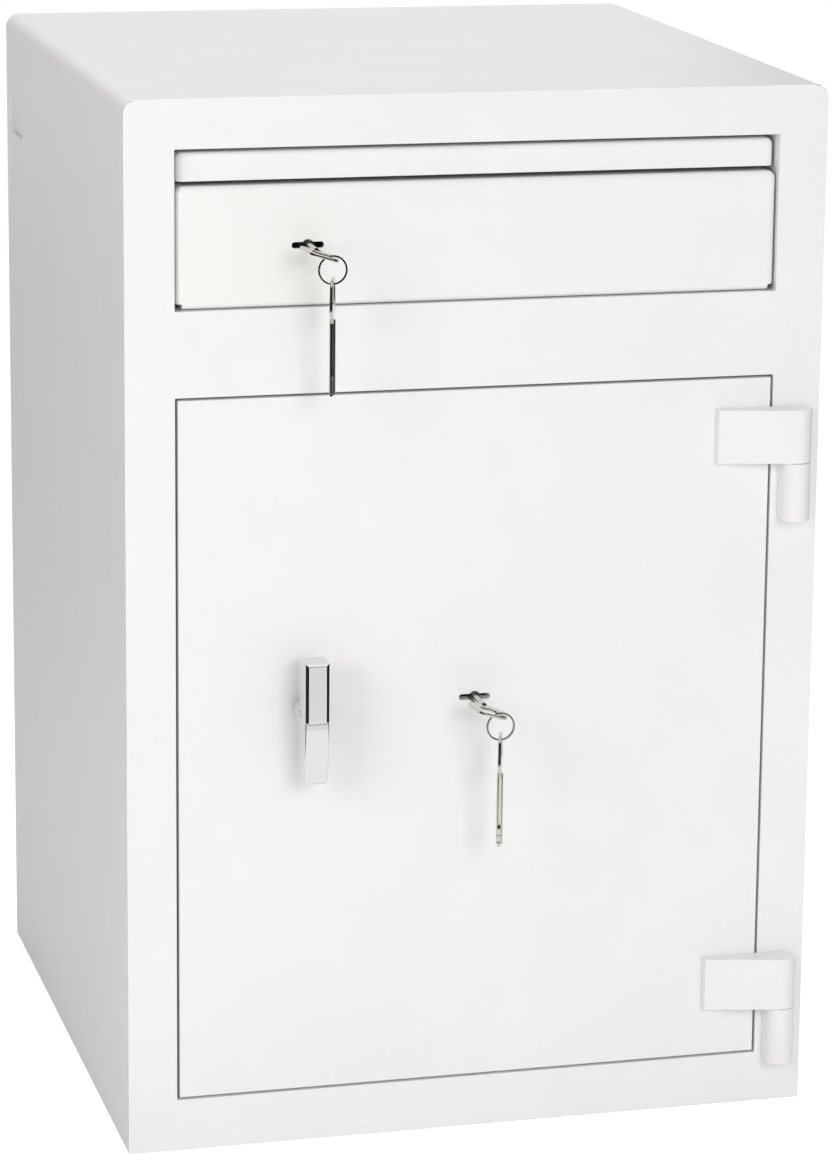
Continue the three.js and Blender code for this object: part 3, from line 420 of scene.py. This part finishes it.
def deburred(node, edge, finish):
    """The solid's shape with its sharp edges broken, as tumbling and paint leave them."""
    joined = 0.03 * MM
    still_flat = math.radians(0.6)
    mesh = frame["nodes"][node].data.copy()
    mesh.name = "finished_" + node
    shape = bmesh.new()
    shape.from_mesh(mesh)
    bmesh.ops.remove_doubles(shape, verts=shape.verts, dist=joined)
    bmesh.ops.dissolve_limit(shape, angle_limit=still_flat, verts=shape.verts, edges=shape.edges)
    shape.to_mesh(mesh)
    shape.free()
    piece = bpy.data.objects.new("finished_" + node, mesh)
    scene.collection.objects.link(piece)
    ease_edges(piece, edge)
    dressed(piece, node, finish)


frame_coat = powder_coat("powder_coated_steel_cool_white", "F1F1F2", "EFEFF0")
for node, edge in (
    ("cabinet_shell", 0.5 * MM),
    ("side_slot_cap", 0.3 * MM),
    ("back_panel", 0.4 * MM),
    ("base_plate", 0.4 * MM),
):
    deburred(node, edge, frame_coat)


# Front frame. A 5 mm plate with two openings, each with a deep return folded and welded behind it.
# It has the cabinet's paint.
plate_edge = 0.6 * MM
deburred("front_frame", plate_edge, frame_coat)


# Inner sheets: drop duct, divider, baffle and ramps, in zinc-plated steel as cut and folded. They
# lead what the drawer drops past the toothed baffle into the chamber.
def zinc_plate():
    """Bright zinc plate on sheet steel: pale grey metal, clouded, with fine rolling lines."""
    roll_line = 0.5 * MM
    line_depth = 0.02 * MM
    line_stretch = (0.03, 1.0, 1.0)
    cloud = 14 * MM
    finish = bpy.data.materials.new("zinc_plated_sheet_steel")
    finish.use_nodes = True
    tree = finish.node_tree
    metal = tree.nodes["Principled BSDF"]
    metal.inputs["Metallic"].default_value = 1.0
    place = add_node(tree, "ShaderNodeTexCoord").outputs["Object"]
    clouds = add_node(
        tree, "ShaderNodeTexNoise", {"Scale": 1 / cloud, "Detail": 4.0}, {"Vector": place}
    )
    tone = add_node(tree, "ShaderNodeValToRGB", {}, {"Fac": clouds.outputs["Fac"]})
    tone.color_ramp.elements[0].color = linear("B4B7BC")
    tone.color_ramp.elements[1].color = linear("C6C9CD")
    tree.links.new(tone.outputs["Color"], metal.inputs["Base Color"])
    dull = add_node(
        tree,
        "ShaderNodeMapRange",
        {"To Min": 0.34, "To Max": 0.5},
        {"Value": clouds.outputs["Fac"]},
    )
    tree.links.new(dull.outputs["Result"], metal.inputs["Roughness"])
    stretch = add_node(tree, "ShaderNodeMapping", {"Scale": line_stretch}, {"Vector": place})
    lines = add_node(
        tree,
        "ShaderNodeTexNoise",
        {"Scale": 1 / roll_line, "Detail": 2.0},
        {"Vector": stretch.outputs["Vector"]},
    )
    bump = add_node(
        tree,
        "ShaderNodeBump",
        {"Strength": 0.15, "Distance": line_depth},
        {"Height": lines.outputs["Fac"]},
    )
    tree.links.new(bump.outputs["Normal"], metal.inputs["Normal"])
    return finish


zinc = zinc_plate()
sheet_edge = 0.3 * MM
for node in (
    "drop_duct",
    "divider_plate",
    "anti_fishing_baffle",
    "flap_ramp_left",
    "flap_ramp_right",
):
    deburred(node, sheet_edge, zinc)


# Header strip. A narrow folded strip closes the slot between the drawer and the top rail. It is
# painted with the frame.
deburred("header_strip", sheet_edge, frame_coat)


# Slides. Two nested channels on each side carry the drawer, the outer ones on the duct and the
# inner ones on the tray.
channel_edge = 0.2 * MM
for node in ("slide_rail_left", "slide_rail_right", "slide_runner_left", "slide_runner_right"):
    deburred(node, channel_edge, zinc)


# Hinges. Each strap is welded to the door and wraps a bright steel pin, which drops into a barrel
# welded to the frame.
def turned_steel():
    """Turned bar in bare bright steel, with faint tool rings."""
    ring = 0.6 * MM
    ring_depth = 0.01 * MM
    finish = bpy.data.materials.new("turned_bright_steel")
    finish.use_nodes = True
    tree = finish.node_tree
    metal = tree.nodes["Principled BSDF"]
    metal.inputs["Metallic"].default_value = 1.0
    metal.inputs["Base Color"].default_value = linear("B9BABD")
    place = add_node(tree, "ShaderNodeTexCoord").outputs["Object"]
    rings = add_node(
        tree, "ShaderNodeTexNoise", {"Scale": 1 / ring, "Detail": 3.0}, {"Vector": place}
    )
    gloss = add_node(
        tree,
        "ShaderNodeMapRange",
        {"To Min": 0.22, "To Max": 0.38},
        {"Value": rings.outputs["Fac"]},
    )
    tree.links.new(gloss.outputs["Result"], metal.inputs["Roughness"])
    bump = add_node(
        tree,
        "ShaderNodeBump",
        {"Strength": 0.1, "Distance": ring_depth},
        {"Height": rings.outputs["Fac"]},
    )
    tree.links.new(bump.outputs["Normal"], metal.inputs["Normal"])
    return finish


door_coat = powder_coat("powder_coated_steel_white", "F1F1F1", "EFEFEF")
steel = turned_steel()
pin_edge = 0.4 * MM
for end in ("upper", "lower"):
    deburred("hinge_strap_" + end, plate_edge, door_coat)
    deburred("hinge_barrel_" + end, plate_edge, door_coat)
    deburred("hinge_pin_" + end, pin_edge, steel)


# Door. A 10 mm plate, an inner frame behind it and a screwed cover over the boltwork. Two fixed
# bolts stand on the hinge side.
screws = 4
fixed_bolt_edge = 1.2 * MM
deburred("door_plate", plate_edge, door_coat)
deburred("door_inner_frame", sheet_edge, door_coat)
deburred("boltwork_cover", sheet_edge, door_coat)
for i in range(screws):
    deburred("cover_screw_%d" % (i + 1), pin_edge, steel)
for node in ("dog_bolt_upper", "dog_bolt_lower"):
    deburred(node, fixed_bolt_edge, steel)


# Boltwork. A spiral cam on the handle's spindle drives the bolt bar, which carries three round
# bolts and the arm that the door's lock blocks.
locking_bolt_edge = 1.4 * MM
small_edge = 0.2 * MM
for node in ("bolt_bar", "lock_arm", "bolt_cam", "bolt_guide"):
    deburred(node, sheet_edge, zinc)
for node in ("locking_bolt_top", "locking_bolt_middle", "locking_bolt_bottom"):
    deburred(node, locking_bolt_edge, steel)
for node in ("cam_follower", "handle_spindle", "spindle_clip"):
    deburred(node, small_edge, steel)


# Lever handle. A zinc die casting, polished and chrome plated: a boss with chamfered edges, a grip
# below it that thins towards its end, and a round hub behind that sits on the spindle.
def chrome_plate():
    """Polished chrome plate: a clear mirror with faint casting waves and haze where hands touch."""
    haze = 12 * MM
    wave = 5 * MM
    wave_depth = 0.06 * MM
    wave_stretch = (0.2, 0.2, 1.0)
    finish = bpy.data.materials.new("polished_chrome_plate")
    finish.use_nodes = True
    tree = finish.node_tree
    metal = tree.nodes["Principled BSDF"]
    metal.inputs["Metallic"].default_value = 1.0
    metal.inputs["Base Color"].default_value = linear("E6E6E8")
    place = add_node(tree, "ShaderNodeTexCoord").outputs["Object"]
    haze_map = add_node(
        tree, "ShaderNodeTexNoise", {"Scale": 1 / haze, "Detail": 3.0}, {"Vector": place}
    )
    gloss = add_node(
        tree,
        "ShaderNodeMapRange",
        {"To Min": 0.04, "To Max": 0.12},
        {"Value": haze_map.outputs["Fac"]},
    )
    tree.links.new(gloss.outputs["Result"], metal.inputs["Roughness"])
    level = add_node(tree, "ShaderNodeMapping", {"Scale": wave_stretch}, {"Vector": place})
    waves = add_node(
        tree,
        "ShaderNodeTexNoise",
        {"Scale": 1 / wave, "Detail": 1.0},
        {"Vector": level.outputs["Vector"]},
    )
    bump = add_node(
        tree,
        "ShaderNodeBump",
        {"Strength": 0.5, "Distance": wave_depth},
        {"Height": waves.outputs["Fac"]},
    )
    tree.links.new(bump.outputs["Normal"], metal.inputs["Normal"])
    return finish


def turned(shape, profile, steps=56):
    """Adds a closed body turned about Y, from pairs of place along Y and radius."""
    turns = [2 * math.pi * i / steps for i in range(steps)]
    rings = [
        [shape.verts.new((radius * math.cos(turn), y, radius * math.sin(turn))) for turn in turns]
        for y, radius in profile
    ]
    for near, far in zip(rings, rings[1:]):
        for i in range(steps):
            shape.faces.new((near[i - 1], near[i], far[i], far[i - 1]))
    shape.faces.new(rings[0])
    shape.faces.new(rings[-1])


def finished_mesh(shape, name):
    """A mesh object from a finished shape, its faces turned outwards."""
    bmesh.ops.recalc_face_normals(shape, faces=shape.faces)
    mesh = bpy.data.meshes.new(name)
    shape.to_mesh(mesh)
    shape.free()
    piece = bpy.data.objects.new(name, mesh)
    scene.collection.objects.link(piece)
    return piece


hub_length = 19 * MM
hub_radius = 9.5 * MM
hub_chamfer = 0.6 * MM
hub_overlap = 1 * MM
hub_to_door = 0.3 * MM
lever_depth = 20.4 * MM
lever_half = 8.5 * MM
lever_edge = 0.35 * MM
lever_edge_steps = 3
lever_crease = 14.0
# Of each level: its height, the front's recess, the waist, and the bevel's width and depth, in mm.
lever_levels = (
    (41.0, 1.4, 0.0, 0.1, 0.05),
    (39.4, 0.0, 0.0, 2.4, 1.3),
    (-1.2, 0.0, 0.0, 2.4, 1.3),
    (-1.6, 1.9, 0.0, 1.6, 0.6),
    (-2.3, 1.2, 0.0, 0.8, 0.6),
    (-8.0, 1.1, 0.0, 0.8, 0.6),
    (-16.0, 1.4, 0.0, 0.8, 0.6),
    (-24.0, 2.1, 0.0, 0.8, 0.6),
    (-32.0, 3.1, 0.1, 0.8, 0.6),
    (-40.0, 4.4, 0.2, 0.8, 0.6),
    (-45.8, 5.6, 0.3, 0.8, 0.6),
    (-47.0, 7.2, 0.8, 0.5, 0.4),
)
handle_low, handle_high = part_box("door_handle")
shape = bmesh.new()
rings = []
for height, recess, waist, bevel_width, bevel_depth in lever_levels:
    half = lever_half - waist * MM
    front_y = -hub_length - lever_depth + recess * MM
    flat_half = half - bevel_width * MM
    side_y = front_y + bevel_depth * MM
    outline = (
        (-half, -hub_length),
        (-half, side_y),
        (-flat_half, front_y),
        (flat_half, front_y),
        (half, side_y),
        (half, -hub_length),
    )
    rings.append([shape.verts.new((x, y, height * MM)) for x, y in outline])
for above, below in zip(rings, rings[1:]):
    for i in range(len(above)):
        shape.faces.new((above[i - 1], above[i], below[i], below[i - 1]))
shape.faces.new(rings[0])
shape.faces.new(rings[-1])
door_end = -hub_to_door
turned(
    shape,
    (
        (-hub_length - hub_overlap, hub_radius),
        (door_end - hub_chamfer, hub_radius),
        (door_end, hub_radius - hub_chamfer),
    ),
)
handle = finished_mesh(shape, "lever_handle")
handle.location = (
    (handle_low.x + handle_high.x) / 2,
    handle_high.y + hub_to_door,
    handle_low.z - lever_levels[-1][0] * MM,
)
chrome = chrome_plate()
ease_edges(handle, lever_edge, lever_crease, lever_edge_steps)
dressed(handle, "door_handle", chrome)


# Key locks. Each has a plated case with a cover, and a steel bolt that drops out of the case when
# the key turns.
for lock in ("door", "drawer"):
    deburred(lock + "_lock_case", sheet_edge, zinc)
    deburred(lock + "_lock_cover", sheet_edge, zinc)
    deburred(lock + "_lock_bolt", pin_edge, steel)


# Drawer. A painted folded front stands before a plated tray, which runs on the slides. The flap
# hangs open on a pin under the tray and closes it when it is lifted.
drawer_coat = powder_coat("powder_coated_steel_warm_white", "F1F1F0", "EFEFEE")
deburred("drawer_front", sheet_edge, drawer_coat)
for node in ("drawer_tray", "drawer_flap"):
    deburred(node, sheet_edge, zinc)
deburred("flap_pin", small_edge, steel)


# Flap glides. Moulded black nylon blocks on the flap that climb the ramps and lift the flap as the
# drawer comes out.
glide_edge = 0.5 * MM
skin_grain = 0.8 * MM
nylon = bpy.data.materials.new("moulded_black_nylon")
nylon.use_nodes = True
tree = nylon.node_tree
moulded = tree.nodes["Principled BSDF"]
moulded.inputs["Base Color"].default_value = linear("202022")
place = add_node(tree, "ShaderNodeTexCoord").outputs["Object"]
skin = add_node(tree, "ShaderNodeTexNoise", {"Scale": 1 / skin_grain}, {"Vector": place})
dull = add_node(
    tree, "ShaderNodeMapRange", {"To Min": 0.4, "To Max": 0.55}, {"Value": skin.outputs["Fac"]}
)
tree.links.new(dull.outputs["Result"], moulded.inputs["Roughness"])
for node in ("flap_glide_left", "flap_glide_right"):
    deburred(node, glide_edge, nylon)


# Keys. Pressed from steel and nickel plated: a flat bow with a rounded rim, a round shank and a bit
# with steps on both sides. A second key hangs from a split ring on the bow.
def nickel_plate(name, colour):
    """Nickel plate on pressed steel: a warm pale metal, a little worn."""
    scuff = 3 * MM
    finish = bpy.data.materials.new(name)
    finish.use_nodes = True
    tree = finish.node_tree
    metal = tree.nodes["Principled BSDF"]
    metal.inputs["Metallic"].default_value = 1.0
    metal.inputs["Base Color"].default_value = linear(colour)
    place = add_node(tree, "ShaderNodeTexCoord").outputs["Object"]
    scuffs = add_node(
        tree, "ShaderNodeTexNoise", {"Scale": 1 / scuff, "Detail": 4.0}, {"Vector": place}
    )
    gloss = add_node(
        tree,
        "ShaderNodeMapRange",
        {"To Min": 0.1, "To Max": 0.24},
        {"Value": scuffs.outputs["Fac"]},
    )
    tree.links.new(gloss.outputs["Result"], metal.inputs["Roughness"])
    return finish


def pressed_plate(outlines, thickness, rim):
    """A flat plate in X and Y from closed outlines in millimetres, its rim and holes rounded."""
    blank = bpy.data.curves.new("key_blank", "CURVE")
    blank.dimensions = "2D"
    blank.fill_mode = "BOTH"
    blank.extrude = (thickness / 2 - rim) * MM
    blank.bevel_depth = rim * MM
    blank.bevel_resolution = 3
    blank.offset = -rim * MM
    for outline in outlines:
        line = blank.splines.new("POLY")
        line.points.add(len(outline) - 1)
        for point, (x, y) in zip(line.points, outline):
            point.co = (x * MM, y * MM, 0.0, 1.0)
        line.use_cyclic_u = True
    holder = bpy.data.objects.new("key_blank", blank)
    mesh = bpy.data.meshes.new_from_object(holder)
    bpy.data.objects.remove(holder)
    bpy.data.curves.remove(blank)
    return mesh


def bend(start, corner, end, steps=8):
    """Points of a round corner, its end left out."""
    points = []
    for i in range(steps):
        t = i / steps
        points.append(
            tuple(
                (1 - t) ** 2 * a + 2 * t * (1 - t) * b + t**2 * c
                for a, b, c in zip(start, corner, end)
            )
        )
    return points


# Key sizes are in millimetres: along Y from the face of the lock, across from the middle line.
key_reach = 53
key_inside = 27.5
key_thickness = 2.2
key_crease = 40.0
key_rest_turn = 17.5
spare_rest_turn = -18
shank_radius = 2.25
shank_steps = 24
shank_chamfer = 0.8
shank_lap = 1
bow_length = 27
bow_rim = 0.7
bow_end_half = 10
bow_flare = 1
bow_half = 13.6
bow_widest = 20
bow_ease = 3
bow_side_steps = 4
bow_corner = 5
shoulder_half = 13
neck_half = 3
neck_end = 3.5
hole_half = 7
hole_from_end = 3
hole_length = 15
hole_corner = 4
bit_half = 9.6
bit_rim = 0.15
bit_steps = (0, 1.6, 0.6, 2.4, 1.1)
bit_length = 13.5
shank_tip = 1
bow_end = -key_reach
bow_root = bow_end + bow_length
flare_start = (bow_end_half + bow_flare, bow_end + bow_corner)
widest = (bow_half, bow_end + bow_widest)
widest_guide = (bow_half, bow_end + bow_widest - bow_ease)
neck_start = (neck_half, bow_root + shank_lap)
side = [
    *bend((bow_end_half - bow_corner, bow_end), (bow_end_half, bow_end), flare_start),
    *bend(flare_start, widest_guide, widest, bow_side_steps),
    *bend(widest, (shoulder_half, bow_root), neck_start),
    (neck_half, bow_root + neck_end),
]
bow_outline = side + [(-x, y) for x, y in reversed(side)]
near = bow_end + hole_from_end
far = near + hole_length
flat = hole_half - hole_corner
hole_outline = [
    *bend((flat, near), (hole_half, near), (hole_half, near + hole_corner)),
    *bend((hole_half, far - hole_corner), (hole_half, far), (flat, far)),
    *bend((-flat, far), (-hole_half, far), (-hole_half, far - hole_corner)),
    *bend((-hole_half, near + hole_corner), (-hole_half, near), (-flat, near)),
]
bit_start = key_inside - bit_length - shank_tip
step = bit_length / len(bit_steps)
edge_points = [
    (bit_half - depth, bit_start + (i + end) * step)
    for i, depth in enumerate(bit_steps)
    for end in (0, 1)
]
bit_outline = edge_points + [(-x, y) for x, y in reversed(edge_points)]
shape = bmesh.new()
for outlines, rim in (((bow_outline, hole_outline), bow_rim), ((bit_outline,), bit_rim)):
    plate_mesh = pressed_plate(outlines, key_thickness, rim)
    shape.from_mesh(plate_mesh)
    bpy.data.meshes.remove(plate_mesh)
turned(
    shape,
    [
        (y * MM, radius * MM)
        for y, radius in (
            (bow_root + shank_lap, shank_radius),
            (key_inside - shank_chamfer, shank_radius),
            (key_inside, shank_radius - shank_chamfer),
        )
    ],
    shank_steps,
)
seam = 0.001 * MM
bmesh.ops.remove_doubles(shape, verts=shape.verts, dist=seam)
key_shape = finished_mesh(shape, "key_shape")
key_mesh = key_shape.data
bpy.data.objects.remove(key_shape)
lean_on_flats(key_mesh, key_crease)
key_turn = Matrix.Rotation(math.radians(key_rest_turn), 4, "Y")
hang_turn = (
    Matrix.Rotation(math.radians(spare_rest_turn), 4, "Z")
    @ Matrix.Rotation(-math.pi / 2, 4, "X")
    @ Matrix.Rotation(math.pi / 2, 4, "Y")
)


# Split rings. Each has two close turns of flat spring wire, tumbled and nickel plated. It hangs in
# the bow of the key in the lock and carries the spare key.
def split_ring(name, radius, wire):
    """Two turns about Y that lie side by side, with the short ramp between them."""
    steps = 144
    ramp = 0.1
    first_turn = 0.2
    flat_share = 0.94
    nick_share = 0.12
    half_flat = wire / 4 * flat_share
    nick = wire * nick_share
    section = [
        (sx * (wire / 2 - dx), sy * (half_flat - dy))
        for sx, sy, pairs in (
            (-1, -1, ((nick, 0), (0, nick))),
            (-1, 1, ((0, nick), (nick, 0))),
            (1, 1, ((nick, 0), (0, nick))),
            (1, -1, ((0, nick), (nick, 0))),
        )
        for dx, dy in pairs
    ]
    shape = bmesh.new()
    rings = []
    for i in range(steps + 1):
        turn = 2 * i / steps
        slide = max(-1.0, min(1.0, (turn - 1) / ramp))
        angle = 2 * math.pi * (turn + first_turn)
        across, up = math.cos(angle), math.sin(angle)
        rings.append(
            [
                shape.verts.new(((radius + u) * across, v + slide * wire / 4, (radius + u) * up))
                for u, v in section
            ]
        )
    for near, far in zip(rings, rings[1:]):
        for i in range(len(section)):
            shape.faces.new((near[i - 1], near[i], far[i], far[i - 1]))
    shape.faces.new(rings[0])
    shape.faces.new(rings[-1])
    ring = finished_mesh(shape, name)
    lean_on_flats(ring.data, key_crease)
    return ring


ring_radius = 9.6 * MM
ring_wire = 1.2 * MM
nickel = nickel_plate("nickel_plated_pressed_steel", "D6D2CA")
# The ring's nickel is painted much darker than the keys' nickel: painted shade, standing in for the
# dark reflections on the thin wire.
ring_nickel_painted_shade = nickel_plate("nickel_plate_painted_dark_as_shade", "8E8C88")
for lock in ("door", "drawer"):
    low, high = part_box(lock + "_key")
    key = bpy.data.objects.new(lock + "_key_in_lock", key_mesh.copy())
    scene.collection.objects.link(key)
    face_y = low.y + key_reach * MM
    place = ((low.x + high.x) / 2, face_y, (low.z + high.z) / 2)
    key.matrix_world = Matrix.Translation(place) @ key_turn
    dressed(key, lock + "_key", nickel)
    low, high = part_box(lock + "_spare_key")
    spare = bpy.data.objects.new(lock + "_key_on_ring", key_mesh.copy())
    scene.collection.objects.link(spare)
    place = ((low.x + high.x) / 2, (low.y + high.y) / 2, high.z - key_reach * MM)
    spare.matrix_world = Matrix.Translation(place) @ hang_turn
    dressed(spare, lock + "_spare_key", nickel)
    low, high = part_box(lock + "_key_ring")
    ring = split_ring(lock + "_split_ring", ring_radius, ring_wire)
    ring.location = (low + high) / 2
    dressed(ring, lock + "_key_ring", ring_nickel_painted_shade)
